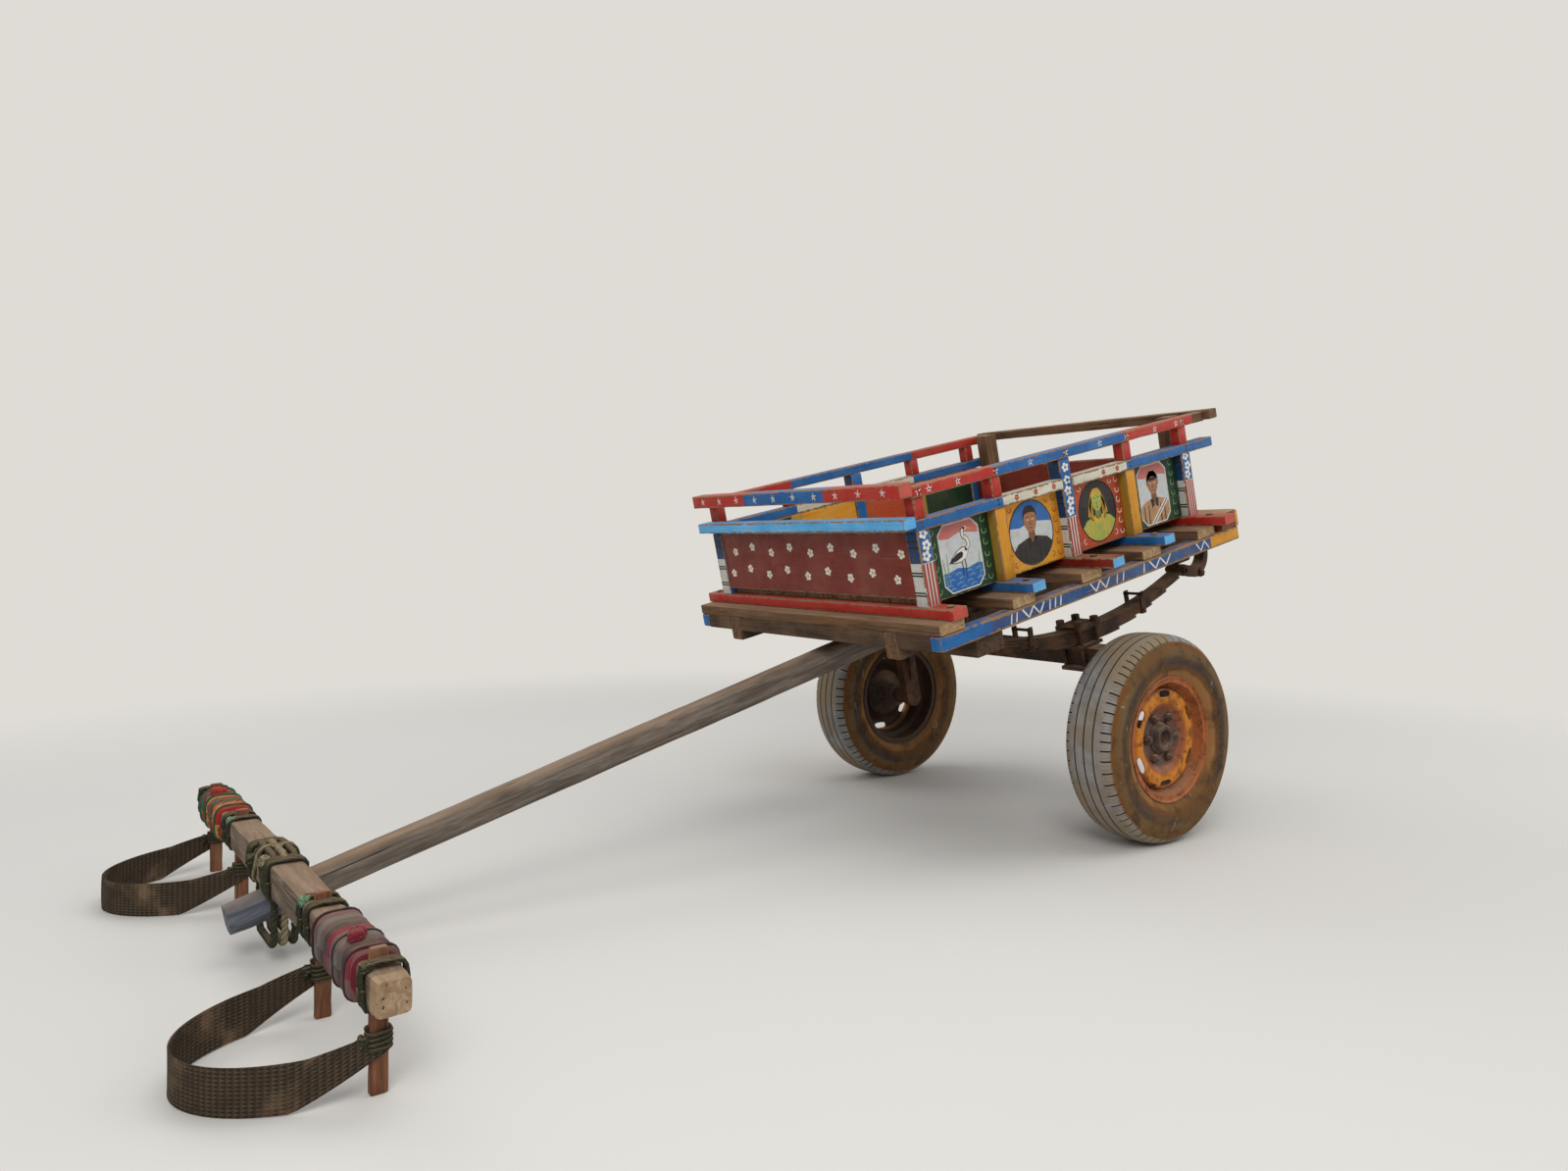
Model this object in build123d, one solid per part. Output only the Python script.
from build123d import *
import math
import os

# A bullock cart: timber body, leaf springs, dropped axle, disc wheels, pole and yoke. Millimetres.
# The cart is drawn level, x forward, y left, z up from the axle line, and then
# turned nose down about that line until the yoke's pins stand on the ground.

# Wheels
WHEEL_RADIUS = 325.0
TRACK = 1242.0
TYRE_HALF_WIDTH = 94.0
RIM_HALF_WIDTH = 69.0
BEAD_RADIUS = 177.8
FLANGE_RADIUS = 195.5
SHEET = 4.0
BEAD_GAP = 0.3
WHEEL_FLATS = 28
DISC_FLATS = 18
HUB_FLATS = 14
PIN_FLATS = 8
VENTS = 6
VENT_RADIUS = 139.0
VENT_LONG = 48.0
VENT_WIDE = 20.0
NUTS = 6
NUT_CIRCLE = 69.85
NUT_RADIUS = 12.0
NUT_HEIGHT = 16.0
DISC_BORE = 53.0
DISC_FACE = 32.0
CROWN = 57.0
HUB_NOSE = 46.0
HUB_BARREL = 44.0
HUB_FLANGE = 88.0
SPINDLE_RADIUS = 20.0
RUNNING_GAP = 0.05

# Dropped axle
BEAM = 60.0
BEAM_HEIGHT = 250.0
BEAM_HALF_LENGTH = 500.0
DROP_FACE = 500.0
DROP_THICK = 34.0
DROP_WIDE = 70.0

# Leaf springs: their side station, and the points that the main leaf passes
SPRING_Y = 400.0
LEAF_WIDTH = 58.0
LEAF = 7.4
LEAF_PITCH = 8.4
FRONT_EYE = (485.0, 436.0)
SPRING_SEAT_TOP = (0.0, 336.3)
REAR_EYE = (-575.0, 398.0)
LEAF_GRID = 145.0
EYE_OUTER = 20.0
EYE_BORE = 10.0
PIN_GAP = 0.2
CLAMP_HALF = 55.0

# Under-frame
SILL_INNER = 562.5
SILL_OUTER = 607.5
SILL_BOTTOM = 495.0
SILL_TOP = 540.0
SILL_FRONT = 800.0
SILL_REAR = -655.0
RAIL_HALF = 30.0
RAIL_BOTTOM = 460.0
RAIL_REAR = -660.0
HORN_DROP = 22.0
HORN_OUTER = 84.0
HORN_INNER = 50.0
JOIST_TOP = 572.0
BATTEN_TOP = 604.0
BATTEN_WIDE = 58.0
BATTEN_LEAD = 30.0
TAIL_PLANK = (-652.0, -562.0)
TAIL_PLANK_TOP = 600.0
DECK_TOP = 626.0
DECK_HALF = 472.0

# Body
POST = 50.0
POST_FRONT = 722.0
BAY = 313.6
POST_OUTER = 525.0
PANEL_OUTER = 497.0
PANEL_THICK = 18.0
MIDDLE_RAIL = (820.5, 853.5)
TOP_RAIL = (913.5, 946.5)
FRONT_MIDDLE_RAIL = (832.0, 865.0)
FRONT_TOP_RAIL = (921.0, 963.0)
RAIL_INNER = 482.0
RAIL_OUTER = 530.0
RAIL_OVERHANG = -660.0
MIDDLE_OVERHANG = -690.0
FRONT_RAIL_DEPTH = 50.0
STANCHION = 40.0

# Pole: a point on its top line, the fall of that line, and its thickness
POLE_REF = (555.0, 460.0)
POLE_FALL = 0.0574
POLE_TIP = 2530.0
POLE_REAR = -100.0
POLE_TIP_THICK = 68.0
POLE_REAR_THICK = 84.0

# Yoke
YOKE_STATION = 2412.0
YOKE_HALF_LENGTH = 890.0
YOKE_MIDDLE = 76.0
YOKE_END = 66.0
PIN_DROP = 160.0
PIN_STATIONS = (420.0, 800.0)
PIN_WIDE = 32.0
PIN_THICK = 18.0
PIN_PROUD = 16.0
SEAT_DEPTH = 8.0
SEAT_GAP = 5.0
SEAT_HALF = 64.0
WRAP = (520.0, 780.0)
WRAP_THICK = 13.0
ROPE = 9.0
LASH_HALF = 80.0
LASH_X = (-22.0, 0.0, 22.0)
COLLARS = (68.0, -112.0)
COLLAR_WIDE = 44.0

# Neck straps: bows that lie forward on the ground from the pins
STRAP_THICK = 6.0
STRAP_REACH = 300.0
STRAP_SIDES = 10
STRAP_BEHIND = -16.0

EDGE = 2.5


def block(x, y, z):
    """Box between the (low, high) limits along each axis."""
    size = (x[1] - x[0], y[1] - y[0], z[1] - z[0])
    centre = ((x[0] + x[1]) / 2, (y[0] + y[1]) / 2, (z[0] + z[1]) / 2)
    return Pos(*centre) * Box(*size)


def timber(x, y, z, eased=EDGE):
    """Squared timber between the limits, its long edges eased."""
    spans = {Axis.X: x[1] - x[0], Axis.Y: y[1] - y[0], Axis.Z: z[1] - z[0]}
    long_way = max(spans, key=spans.get)
    solid = block(x, y, z)
    return chamfer(solid.edges().filter_by(long_way), eased)


def across(face, y0, y1):
    """Extrudes a face drawn in (x, z) between two y stations."""
    return Pos(0, y1, 0) * Rot(90, 0, 0) * extrude(face, y1 - y0)


def rod(x, z, y0, y1, radius):
    """Round bar across the cart."""
    return across(Pos(x, z) * Circle(radius), y0, y1)


def flatted(x, z, y0, y1, radius, flats=PIN_FLATS):
    """Bar across the cart with flats at the radius."""
    return across(Pos(x, z) * RegularPolygon(radius, flats, major_radius=False), y0, y1)


def eye_bore(x, z):
    """Bore's outline for a spring pin, its flats at the bore's radius."""
    return Pos(x, z) * RegularPolygon(EYE_BORE, PIN_FLATS, major_radius=False)


def spring_pin(x, z, y0, y1):
    """Pin that clears the bore by the pin gap."""
    return flatted(x, z, y0, y1, EYE_BORE - PIN_GAP)


def to_right(solid):
    """The same piece on the right-hand side."""
    return mirror(solid, Plane.XZ)


def both(solids):
    """The pieces of the left side with their twins."""
    return list(solids) + [to_right(s) for s in solids]


def circle_through(p, q, r):
    """Centre and radius of the circle through three (x, z) points."""
    d = 2 * (p[0] * (q[1] - r[1]) + q[0] * (r[1] - p[1]) + r[0] * (p[1] - q[1]))
    sp, sq, sr = (a * a + b * b for a, b in (p, q, r))
    cx = (sp * (q[1] - r[1]) + sq * (r[1] - p[1]) + sr * (p[1] - q[1])) / d
    cz = (sp * (r[0] - q[0]) + sq * (p[0] - r[0]) + sr * (q[0] - p[0])) / d
    return (cx, cz), math.hypot(p[0] - cx, p[1] - cz)


def leaf_face(centre, radius, thick, x0, x1):
    """Bent strip between two x stations, under the circle's centre, with flats on a shared grid."""
    first = math.floor(x0 / LEAF_GRID) + 1
    last = math.ceil(x1 / LEAF_GRID)
    stations = [x0] + [k * LEAF_GRID for k in range(first, last)] + [x1]

    def at(r, x):
        return (x, centre[1] - math.sqrt(r * r - (x - centre[0]) ** 2))
    outer = [at(radius + thick / 2, x) for x in stations]
    inner = [at(radius - thick / 2, x) for x in stations]
    return make_face(Polyline(outer + inner[::-1], close=True))


# Wheel pieces are drawn about the y axis with their centre plane at y = 0, outboard at +y.

def turned(points, flats=WHEEL_FLATS):
    """Ring round the wheel's axis from a closed profile of (y, radius) points, with flats at those radii."""
    half = math.pi / flats

    def corner(point, k):
        y, r = point
        angle = (2 * k + 1) * half
        return (r / math.cos(half) * math.sin(angle), y, r / math.cos(half) * math.cos(angle))
    faces = []
    for k in range(flats):
        for p, q in zip(points, points[1:] + points[:1]):
            quad = [corner(p, k), corner(q, k), corner(q, k + 1), corner(p, k + 1)]
            faces.append(Face(Wire.make_polygon(quad)))
    return Solid(Shell(faces))


def tyre():
    """Casing with bead, bulged walls, shoulders and crown, hollow inside."""
    wall = RIM_HALF_WIDTH - BEAD_GAP
    bead = BEAD_RADIUS + BEAD_GAP
    outside = [(wall, bead), (wall, 190.5), (80.0, 203.5), (91.0, 230.0), (TYRE_HALF_WIDTH, 256.0),
               (90.0, 284.0), (83.0, 302.0), (70.0, 316.0), (34.0, WHEEL_RADIUS)]
    inside = [(46.0, bead), (58.0, 199.0), (82.0, 245.0), (74.0, 296.0), (40.0, 311.0)]
    left = [(-y, r) for y, r in outside]
    inner_left = [(-y, r) for y, r in inside]
    return turned(outside + left[::-1] + inner_left + inside[::-1])


def rim():
    """Drop-centre rim with a pressed disc: crowned ring, vent holes, centre bore and wheel nuts."""
    # Tyre side of the barrel, outboard edge to inboard edge: (y, radius)
    barrel = [(79.0, 191.0), (74.5, FLANGE_RADIUS), (RIM_HALF_WIDTH, 190.0), (RIM_HALF_WIDTH, BEAD_RADIUS),
              (44.0, 176.4), (30.0, 161.0), (-12.0, 161.0), (-26.0, 176.4), (-RIM_HALF_WIDTH, BEAD_RADIUS),
              (-RIM_HALF_WIDTH, 190.0), (-74.5, FLANGE_RADIUS), (-79.0, 191.0)]
    # Axle side, one sheet further in
    inner = [(74.0, 190.0), (73.0, 174.6), (46.0, 172.4), (32.0, 157.0), (-14.0, 157.0),
             (-28.0, 172.4), (-73.0, 174.6), (-74.0, 190.0)]
    solid = turned(barrel + inner[::-1])
    # Outboard skin of the disc, bore to well: (y, radius)
    skin = [(DISC_FACE + SHEET, DISC_BORE), (DISC_FACE + SHEET, 84.0), (50.0, 104.0), (CROWN, 118.0),
            (CROWN - 1, 147.0), (47.0, 154.5), (28.0, 154.5), (22.0, 159.0)]
    back = [(DISC_FACE, DISC_BORE), (DISC_FACE, 86.0), (47.0, 108.0), (CROWN - SHEET, 120.0),
            (CROWN - SHEET - 1, 145.0), (44.0, 150.5), (18.0, 150.5)]
    solid += turned(skin + back[::-1], DISC_FLATS)
    slot = chamfer(Rectangle(VENT_WIDE, VENT_LONG).vertices(), VENT_WIDE * 0.3)
    for k in range(VENTS):
        vent = across(Pos(VENT_RADIUS, 0) * slot, CROWN - 12, CROWN + 3)
        solid -= Rot(0, 30 + 360 / VENTS * k, 0) * vent
    for k in range(NUTS):
        nut = flatted(NUT_CIRCLE, 0, DISC_FACE + SHEET / 2, DISC_FACE + SHEET + NUT_HEIGHT, NUT_RADIUS, 6)
        solid += Rot(0, 360 / NUTS * k, 0) * nut
    return solid


def hub():
    """Bearing hub: barrel, flange against the disc, and open nose through the disc's bore."""
    core = SPINDLE_RADIUS - 4
    profile = [(-62.0, core), (-62.0, HUB_BARREL), (-18.0, HUB_BARREL), (DISC_FACE - 12.0, HUB_FLANGE),
               (DISC_FACE, HUB_FLANGE), (DISC_FACE, HUB_NOSE + 3.0), (DISC_FACE + 22.0, HUB_NOSE),
               (DISC_FACE + 28.0, HUB_NOSE - 8.0), (DISC_FACE + 28.0, 26.0), (DISC_FACE + 12.0, core)]
    solid = turned(profile, HUB_FLATS)
    return solid - rod(0, 0, -70, DISC_FACE + 30, SPINDLE_RADIUS + RUNNING_GAP)


def axle_beam():
    """Square beam over the wheels' axis."""
    return block((-BEAM / 2, BEAM / 2), (-BEAM_HALF_LENGTH, BEAM_HALF_LENGTH),
                 (BEAM_HEIGHT - BEAM / 2, BEAM_HEIGHT + BEAM / 2))


def axle_drop():
    """Left down-leg, gusset and stub axle."""
    low = DROP_FACE - DROP_THICK
    half = DROP_WIDE / 2
    leg = flatted(0, 0, low, DROP_FACE, half, 12)
    leg += block((-half, half), (low, DROP_FACE), (0, BEAM_HEIGHT - BEAM / 2))
    under = BEAM_HEIGHT - BEAM / 2
    rib = Polyline((low, 60.0), (low, under), (low - 16.0, under), (low - 16.0, 130.0), close=True)
    leg += extrude(Plane.YZ.offset(-5) * make_face(rib), 10)
    hub_back = TRACK / 2 - 62.0
    leg += flatted(0, 0, DROP_FACE, hub_back - 2, SPINDLE_RADIUS + 9, 12)
    stub = RegularPolygon(SPINDLE_RADIUS, 16)
    leg += across(stub, hub_back - 2, TRACK / 2 + DISC_FACE + 8)
    return leg


def leaf_spring():
    """Left spring: leaves one under the other, open at their ends, with eyes and clips."""
    centre, radius = circle_through(FRONT_EYE, SPRING_SEAT_TOP, REAR_EYE)
    # Each leaf: (front reach, rear reach)
    leaves = [(485.0, 575.0), (452.0, 540.0), (385.0, 455.0), (310.0, 365.0), (230.0, 270.0),
              (150.0, 175.0)]
    y0 = SPRING_Y - LEAF_WIDTH / 2
    y1 = SPRING_Y + LEAF_WIDTH / 2
    face = None
    for k, (front, rear) in enumerate(leaves):
        strip = leaf_face(centre, radius + k * LEAF_PITCH, LEAF, -rear, front)
        face = strip if face is None else face + strip
    pack_low = SPRING_SEAT_TOP[1] - LEAF / 2 - (len(leaves) - 1) * LEAF_PITCH
    pack_high = SPRING_SEAT_TOP[1] + LEAF / 2
    face += Pos(0, (pack_low + pack_high) / 2) * Rectangle(2 * CLAMP_HALF, pack_high - pack_low)
    for eye in (FRONT_EYE, REAR_EYE):
        face += Pos(*eye) * RegularPolygon(EYE_OUTER, 12, major_radius=False)
    for eye in (FRONT_EYE, REAR_EYE):
        face -= eye_bore(*eye)
    solid = across(face, y0, y1)
    # Rebound clips: (x, leaves held)
    for x, held in ((262.0, 4), (-310.0, 4)):
        top = centre[1] - math.sqrt((radius - LEAF / 2) ** 2 - (x - centre[0]) ** 2)
        drop = held * LEAF_PITCH
        strap = block((x - 11, x + 11), (y0 - 6, y1 + 6), (top - drop - 7, top + 9))
        tabs = block((x - 11, x + 11), (y0 - 6, y0), (top, top + 34))
        tabs += block((x - 11, x + 11), (y1, y1 + 6), (top, top + 34))
        solid += strap + tabs
    return solid


def spring_clamp(spring):
    """Left spring's seat, top plate, U-bolts round the axle beam, and nuts, bedded on the spring."""
    pack_low = SPRING_SEAT_TOP[1] - LEAF / 2 - 5 * LEAF_PITCH
    plate_low = SPRING_SEAT_TOP[1] + LEAF / 2
    beam_top = BEAM_HEIGHT + BEAM / 2
    beam_low = BEAM_HEIGHT - BEAM / 2
    leg_x = BEAM / 2 + 9
    leg_y = LEAF_WIDTH / 2 + 9
    solid = block((-CLAMP_HALF, CLAMP_HALF), (SPRING_Y - 48, SPRING_Y + 48), (beam_top, pack_low))
    top = block((-CLAMP_HALF, CLAMP_HALF), (SPRING_Y - 48, SPRING_Y + 48), (plate_low, plate_low + 14))
    under = block((-CLAMP_HALF, CLAMP_HALF), (SPRING_Y - 46, SPRING_Y + 46), (beam_low - 12, beam_low))
    solid = solid + top + under
    for x in (-leg_x, leg_x):
        for y in (SPRING_Y - leg_y, SPRING_Y + leg_y):
            solid += Pos(x, y, beam_low - 6) * extrude(RegularPolygon(7, 6), plate_low - beam_low + 10)
            solid += Pos(x, y, plate_low + 7) * extrude(RegularPolygon(14, 6), 24)
    return solid - spring


def spring_hanger():
    """Left front hanger: two cheeks on the rail and the eye's pin."""
    x, z = FRONT_EYE
    solid = None
    for y0, y1 in ((SPRING_Y - RAIL_HALF - 8, SPRING_Y - RAIL_HALF), (SPRING_Y + RAIL_HALF, SPRING_Y + RAIL_HALF + 8)):
        face = Pos(x, z) * RegularPolygon(26, PIN_FLATS, major_radius=False)
        face += Pos(x, (z + 520) / 2) * Rectangle(52, 520 - z)
        cheek = across(face, y0, y1)
        solid = cheek if solid is None else solid + cheek
    solid += spring_pin(x, z, SPRING_Y - RAIL_HALF - 16, SPRING_Y + RAIL_HALF + 16)
    return solid


def shackle_pin():
    """Place of the shackle's pin in the horn's lower end."""
    return RAIL_REAR + 5, RAIL_BOTTOM - HORN_DROP - (HORN_OUTER + HORN_INNER) / 2


def spring_horn():
    """Left rear horn: a half ring behind the rail, with the shackle's pin in its lower end."""
    middle = RAIL_BOTTOM - HORN_DROP
    ring = RegularPolygon(HORN_OUTER, 16, major_radius=False) - RegularPolygon(HORN_INNER, 16, major_radius=False)
    behind = Rectangle(2 * HORN_OUTER, 3 * HORN_OUTER)
    face = (Pos(RAIL_REAR, middle) * ring) & (Pos(RAIL_REAR - HORN_OUTER, middle) * behind)
    x, z = shackle_pin()
    face += Pos(x, z) * RegularPolygon((HORN_OUTER - HORN_INNER) / 2, PIN_FLATS, major_radius=False)
    solid = across(face, SPRING_Y - 21, SPRING_Y + 21)
    solid += spring_pin(x, z, SPRING_Y - 46, SPRING_Y + 46)
    return solid


def shackle():
    """Left shackle: two link plates and the rear eye's pin."""
    low = shackle_pin()
    span = (REAR_EYE[0] - low[0], REAR_EYE[1] - low[1])
    length = math.hypot(*span)
    angle = math.degrees(math.atan2(span[1], span[0]))
    middle = ((low[0] + REAR_EYE[0]) / 2, (low[1] + REAR_EYE[1]) / 2)
    plate = chamfer(Rectangle(length + 34, 34).vertices(), 10)
    link = Pos(*middle) * Rot(0, 0, angle) * plate
    link -= eye_bore(*low)
    solid = across(link, SPRING_Y - 38, SPRING_Y - 31) + across(link, SPRING_Y + 31, SPRING_Y + 38)
    solid += spring_pin(REAR_EYE[0], REAR_EYE[1], SPRING_Y - 46, SPRING_Y + 46)
    return solid


def bump_block():
    """Left rubber block under the rail, over the spring's rear end."""
    return timber((-618, -548), (SPRING_Y - 27, SPRING_Y + 27), (423, RAIL_BOTTOM), 6)


def chassis_rail():
    """Left long timber over the spring."""
    return timber((RAIL_REAR, SILL_FRONT), (SPRING_Y - RAIL_HALF, SPRING_Y + RAIL_HALF), (RAIL_BOTTOM, SILL_TOP))


def pole_top(x):
    """Height of the pole's top line at a station."""
    return POLE_REF[1] + (POLE_REF[0] - x) * POLE_FALL


def pole_level():
    """Hewn log with eight sides, tapered to its tip, before its yoke seat is cut."""
    sections = []
    for x, thick in ((POLE_REAR, POLE_REAR_THICK), (POLE_TIP, POLE_TIP_THICK)):
        flat = Rectangle(thick, thick)
        flat = chamfer(flat.vertices(), thick * 0.2)
        plane = Plane(origin=(x, 0, pole_top(x) - thick / 2), x_dir=(0, 1, 0), z_dir=(1, 0, 0))
        sections.append(plane * flat)
    return loft(sections, ruled=True)


def cross_members(pole):
    """Bolster lapped over rails and pole, nose, middle and rear cross timbers."""
    # (x0, x1, half width, z0, z1)
    rows = [(545, 655, 590, 440, SILL_BOTTOM), (740, 800, SILL_INNER, SILL_BOTTOM, SILL_TOP),
            (-30, 30, 370, 480, SILL_TOP), (-620, -560, 370, 480, SILL_TOP)]
    solids = []
    for x0, x1, half, z0, z1 in rows:
        piece = block((x0, x1), (-half, half), (z0, z1))
        for side in (SPRING_Y, -SPRING_Y):
            piece -= block((RAIL_REAR, SILL_FRONT), (side - RAIL_HALF, side + RAIL_HALF), (RAIL_BOTTOM, SILL_TOP))
        piece -= pole
        solids += piece.solids()
    return solids


def sill():
    """Left outer beam."""
    return timber((SILL_REAR, SILL_FRONT), (SILL_INNER, SILL_OUTER), (SILL_BOTTOM, SILL_TOP), 4)


def floor_joists():
    """Cross planks over sills and rails, and the thicker tail plank."""
    solids = []
    for front in (800.0, 505.0, 195.0, -110.0, -415.0):
        solids.append(block((front - 100, front), (-SILL_OUTER, SILL_OUTER), (SILL_TOP, JOIST_TOP)))
    solids.append(block(TAIL_PLANK, (-SILL_OUTER, SILL_OUTER), (SILL_TOP, TAIL_PLANK_TOP)))
    return solids


def post_x(k):
    """Centre of post k, counted from the front."""
    return POST_FRONT - BAY * k


def floor_battens():
    """Bars under the posts, each as long as it was cut."""
    solids = []
    for k, half in enumerate((620.0, 632.0, 676.0, 640.0, 660.0)):
        front = post_x(k) + BATTEN_LEAD
        solids.append(timber((front - BATTEN_WIDE, front), (-half, half), (JOIST_TOP, BATTEN_TOP)))
    return solids


def floor_boards():
    """Seven deck boards, 4 mm apart."""
    count = 7
    gap = 4.0
    wide = (2 * DECK_HALF - (count - 1) * gap) / count
    x = (post_x(4) - 2.0, post_x(0) + 2.0)
    solids = []
    for k in range(count):
        y = -DECK_HALF + k * (wide + gap)
        solids.append(block(x, (y, y + wide), (BATTEN_TOP, DECK_TOP)))
    return solids


def body_posts():
    """Five posts a side; the middle one runs up to the top rail."""
    tops = (MIDDLE_RAIL[0], MIDDLE_RAIL[0], TOP_RAIL[0], MIDDLE_RAIL[0], MIDDLE_RAIL[0])
    solids = []
    for k, top in enumerate(tops):
        x = post_x(k)
        solids.append(timber((x - POST / 2, x + POST / 2), (POST_OUTER - POST, POST_OUTER), (BATTEN_TOP, top)))
    return both(solids)


def tail_uprights():
    """Stakes behind the tailboard."""
    batten_back = post_x(4) + BATTEN_LEAD - BATTEN_WIDE
    x = (batten_back - 60, batten_back)
    return both([timber(x, (405, 460), (TAIL_PLANK_TOP, TOP_RAIL[1]))])


def side_panels():
    """Left side's four boards, let in between the posts."""
    y = (PANEL_OUTER - PANEL_THICK, PANEL_OUTER)
    solids = []
    for k in range(4):
        x = (post_x(k + 1) + POST / 2, post_x(k) - POST / 2)
        solids.append(block(x, y, (BATTEN_TOP, MIDDLE_RAIL[0])))
    return solids


def end_panel(x0):
    """Board between two corner posts."""
    half = POST_OUTER - POST
    return block((x0, x0 + PANEL_THICK), (-half, half), (DECK_TOP, MIDDLE_RAIL[0]))


def middle_rail():
    """Left second rail, stopped against the middle post."""
    front = post_x(0) + POST / 2
    ends = ((post_x(2) + POST / 2, front), (MIDDLE_OVERHANG, post_x(2) - POST / 2))
    return [timber(x, (RAIL_INNER, RAIL_OUTER), MIDDLE_RAIL) for x in ends]


def top_rail():
    """Left top rail."""
    return timber((RAIL_OVERHANG, post_x(0) + POST / 2), (RAIL_INNER, RAIL_OUTER), TOP_RAIL)


def front_rail(z, half):
    """Rail across the front, on the faces of the corner posts."""
    front = post_x(0) + POST / 2
    return timber((front, front + FRONT_RAIL_DEPTH), (-half, half), z)


def stanchions():
    """Short uprights between second and top rails, all but the middle ones."""
    solids = []
    for k in (0, 1, 3, 4):
        x = post_x(k)
        span = (x - STANCHION / 2, x + STANCHION / 2)
        solids.append(block(span, (POST_OUTER - STANCHION, POST_OUTER), (MIDDLE_RAIL[1], TOP_RAIL[0])))
    return both(solids)


# Parked pitch: the yoke's pins stand on the ground, and the yoke lies on the seat in the pole.

def pitch():
    """Nose-down angle of the parked cart, in degrees."""
    reach = YOKE_STATION
    rise = pole_top(YOKE_STATION)
    fall = WHEEL_RADIUS - (PIN_DROP - SEAT_GAP + SEAT_DEPTH)
    angle = math.asin(fall / math.hypot(reach, rise)) + math.atan2(rise, reach)
    return math.degrees(angle)


def parked_x(x, z):
    """Forward station of a level (x, z) point once the cart is parked."""
    a = math.radians(pitch())
    return x * math.cos(a) + z * math.sin(a)


def yoke_x():
    """Forward station of the parked yoke."""
    return parked_x(YOKE_STATION, pole_top(YOKE_STATION))


def yoke_beam():
    """Square beam, eased on its edges and tapered to both ends."""
    sections = []
    for y, thick in ((-YOKE_HALF_LENGTH, YOKE_END), (0.0, YOKE_MIDDLE), (YOKE_HALF_LENGTH, YOKE_END)):
        flat = chamfer(Rectangle(thick, thick).vertices(), thick * 0.12)
        centre = PIN_DROP + thick / 2
        plane = Plane(origin=(yoke_x(), y, centre), x_dir=(1, 0, 0), z_dir=(0, 1, 0))
        sections.append(plane * flat)
    return loft(sections, ruled=True)


def yoke_pins():
    """Four flat pins, wedged through the beam, their tips on the ground."""
    x = (yoke_x() - PIN_WIDE / 2, yoke_x() + PIN_WIDE / 2)
    solids = []
    for y in PIN_STATIONS:
        top = PIN_DROP + YOKE_MIDDLE + PIN_PROUD
        pin = block(x, (y - PIN_THICK / 2, y + PIN_THICK / 2), (0, top))
        solids.append(chamfer(pin.edges().filter_by(Axis.Z), 3))
    return both(solids)


def neck_wrap(beam):
    """Left cloth wound on the beam where a neck bears."""
    size = YOKE_MIDDLE + 2 * WRAP_THICK - 4
    flat = chamfer(Rectangle(size, size).vertices(), 14)
    plane = Plane(origin=(yoke_x(), WRAP[0], PIN_DROP + YOKE_MIDDLE / 2 - 2), x_dir=(1, 0, 0), z_dir=(0, 1, 0))
    return extrude(plane * flat, WRAP[1] - WRAP[0]) - beam


def pole_lashing(beam):
    """Rope collars on the beam each side of the pole, and hoops under the pole."""
    centre = PIN_DROP + YOKE_MIDDLE / 2
    solid = None
    for y0 in COLLARS:
        flat = chamfer(Rectangle(YOKE_MIDDLE + 22, YOKE_MIDDLE + 22).vertices(), 12)
        plane = Plane(origin=(yoke_x(), y0, centre), x_dir=(1, 0, 0), z_dir=(0, 1, 0))
        collar = extrude(plane * flat, COLLAR_WIDE)
        solid = collar if solid is None else solid + collar
    low = 44.0
    high = PIN_DROP + YOKE_MIDDLE + ROPE
    for x in LASH_X:
        plane = Plane(origin=(yoke_x() + x, 0, (low + high) / 2), x_dir=(0, 1, 0), z_dir=(1, 0, 0))
        loop = (plane * chamfer(Rectangle(2 * LASH_HALF + 8, high - low).vertices(), 18)).wire()
        start = Plane(origin=loop @ 0, z_dir=loop % 0)
        solid += sweep(start * RegularPolygon(ROPE, 6), path=loop, transition=Transition.RIGHT)
    return solid - beam


def neck_strap():
    """Left neck's strap: a flat bow on edge, from the outsides of the two pins forward to the ground."""
    middle = sum(PIN_STATIONS) / 2
    half = (PIN_STATIONS[1] - PIN_STATIONS[0]) / 2 + PIN_THICK / 2 + STRAP_THICK / 2
    clear = PIN_WIDE / 2 + 1

    def bow(offset):
        points = [(STRAP_BEHIND, middle + half + offset)]
        for k in range(STRAP_SIDES + 1):
            angle = math.pi * k / STRAP_SIDES
            forward = clear + (STRAP_REACH + offset - clear) * math.sin(angle)
            points.append((forward, middle + (half + offset) * math.cos(angle)))
        points.append((STRAP_BEHIND, middle - half - offset))
        return points
    plan = make_face(Polyline(bow(STRAP_THICK / 2) + bow(-STRAP_THICK / 2)[::-1], close=True))
    band = Pos(yoke_x(), 0, 0) * extrude(plan, PIN_DROP)
    # Its width along the way forward: (x, z)
    side = [(STRAP_BEHIND, 75.0), (STRAP_BEHIND, 115.0), (120.0, 90.0), (STRAP_REACH + 10, 84.0),
            (STRAP_REACH + 10, 2.0), (140.0, 2.0)]
    cut = make_face(Polyline(side, close=True))
    return band & (Pos(yoke_x(), 0, 0) * across(cut, 0, 2 * middle))


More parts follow.
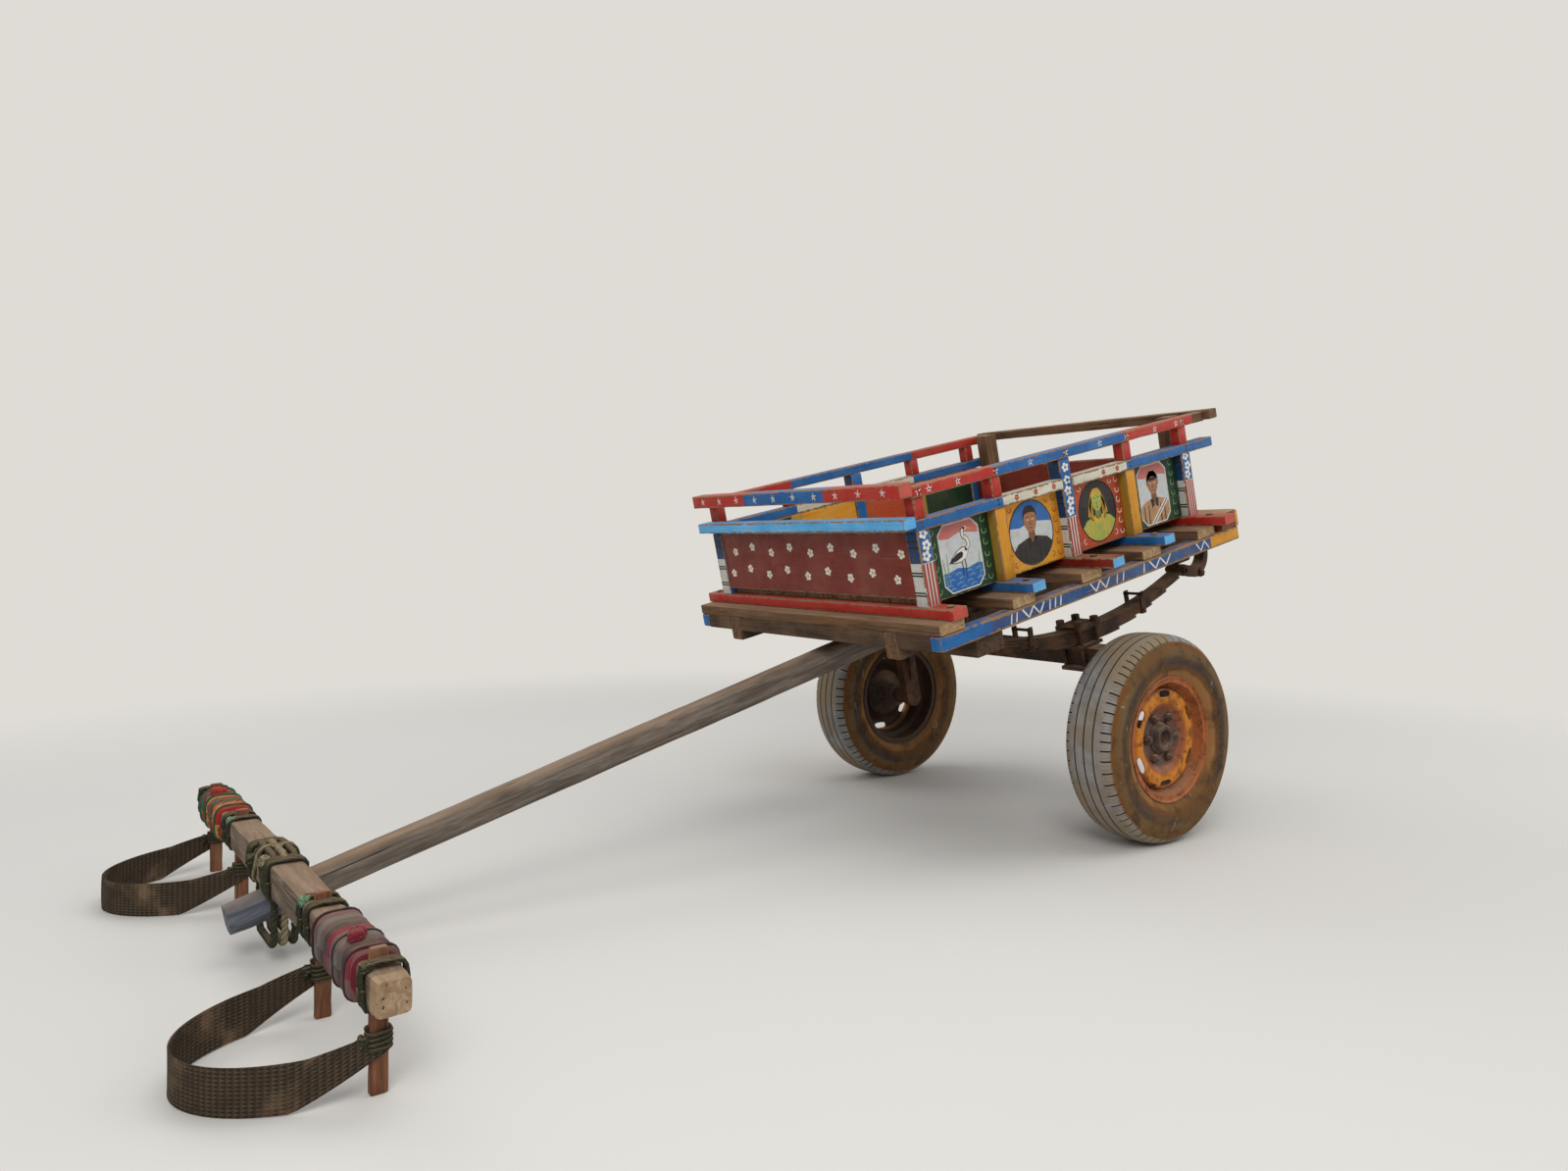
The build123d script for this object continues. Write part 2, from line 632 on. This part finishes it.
def build():
    """All nodes as they stand parked, in millimetres, before the origin is moved."""
    turn = Rot(0, pitch(), 0)
    lift = Pos(0, 0, WHEEL_RADIUS)
    log = pole_level()
    spring = leaf_spring()
    corner = POST_OUTER - POST
    level = {
        "axle_beam": [axle_beam()],
        "spring_hangers_front": both([spring_hanger()]),
        "spring_horns_rear": both([spring_horn()]),
        "shackles": both([shackle()]),
        "bump_blocks": both([bump_block()]),
        "cross_members": cross_members(log),
        "floor_joists": floor_joists(),
        "floor_battens": floor_battens(),
        "floor_boards": floor_boards(),
        "body_posts": body_posts(),
        "tail_uprights": tail_uprights(),
        "panel_front": [end_panel(post_x(0) + 4)],
        "panel_rear": [end_panel(post_x(4) - 4 - PANEL_THICK)],
        "middle_rail_front": [front_rail(FRONT_MIDDLE_RAIL, 530.0)],
        "top_rail_front": [front_rail(FRONT_TOP_RAIL, 535.0)],
        "top_rail_rear": [timber((RAIL_OVERHANG - 50, RAIL_OVERHANG), (-550, 550), (916, 950))],
        "stanchions": stanchions(),
    }
    sided = {
        "axle_drop": [axle_drop()],
        "leaf_spring": [spring],
        "spring_clamp": [spring_clamp(spring)],
        "chassis_rail": [chassis_rail()],
        "sill": [sill()],
        "panel": side_panels(),
        "middle_rail": middle_rail(),
        "top_rail": [top_rail()],
    }
    for name, solids in sided.items():
        level[name + "_left"] = solids
        level[name + "_right"] = [to_right(s) for s in solids]
    nodes = {name: [lift * turn * s for s in solids] for name, solids in level.items()}

    seat_z = PIN_DROP - SEAT_GAP
    seat = block((yoke_x() - SEAT_HALF, yoke_x() + SEAT_HALF), (-corner, corner), (seat_z, seat_z + 100))
    nodes["pole"] = [lift * turn * log - seat]

    for name, solid in (("tyre", tyre()), ("rim", rim()), ("hub", hub())):
        centre = Pos(0, TRACK / 2, WHEEL_RADIUS)
        nodes[name + "_left"] = [centre * solid]
        nodes[name + "_right"] = [to_right(centre * solid)]

    beam = yoke_beam()
    pins = yoke_pins()
    wrap = neck_wrap(beam)
    strap = neck_strap()
    nodes["yoke_pins"] = pins
    nodes["neck_wrap_left"] = [wrap]
    nodes["neck_wrap_right"] = [to_right(wrap)]
    nodes["neck_strap_left"] = [strap]
    nodes["neck_strap_right"] = [to_right(strap)]
    nodes["pole_lashing"] = [pole_lashing(beam)]
    for pin in pins:
        beam -= pin
    nodes["yoke_beam"] = [beam]
    return nodes


def origin_shift(nodes):
    """Move that brings the middle of the parked cart's footprint to the origin."""
    boxes = [s.bounding_box() for solids in nodes.values() for s in solids]
    x = (min(b.min.X for b in boxes) + max(b.max.X for b in boxes)) / 2
    y = (min(b.min.Y for b in boxes) + max(b.max.Y for b in boxes)) / 2
    return (-x, -y, -min(b.min.Z for b in boxes))


def main():
    """Writes one file per node."""
    os.makedirs("parts", exist_ok=True)
    nodes = build()
    move = Pos(*origin_shift(nodes))
    for name, solids in nodes.items():
        placed = [move * s for s in solids]
        export_step(placed[0] if len(placed) == 1 else Compound(children=placed), f"parts/{name}.step")
    print("pitch", round(pitch(), 3), "nodes", len(nodes))


main()
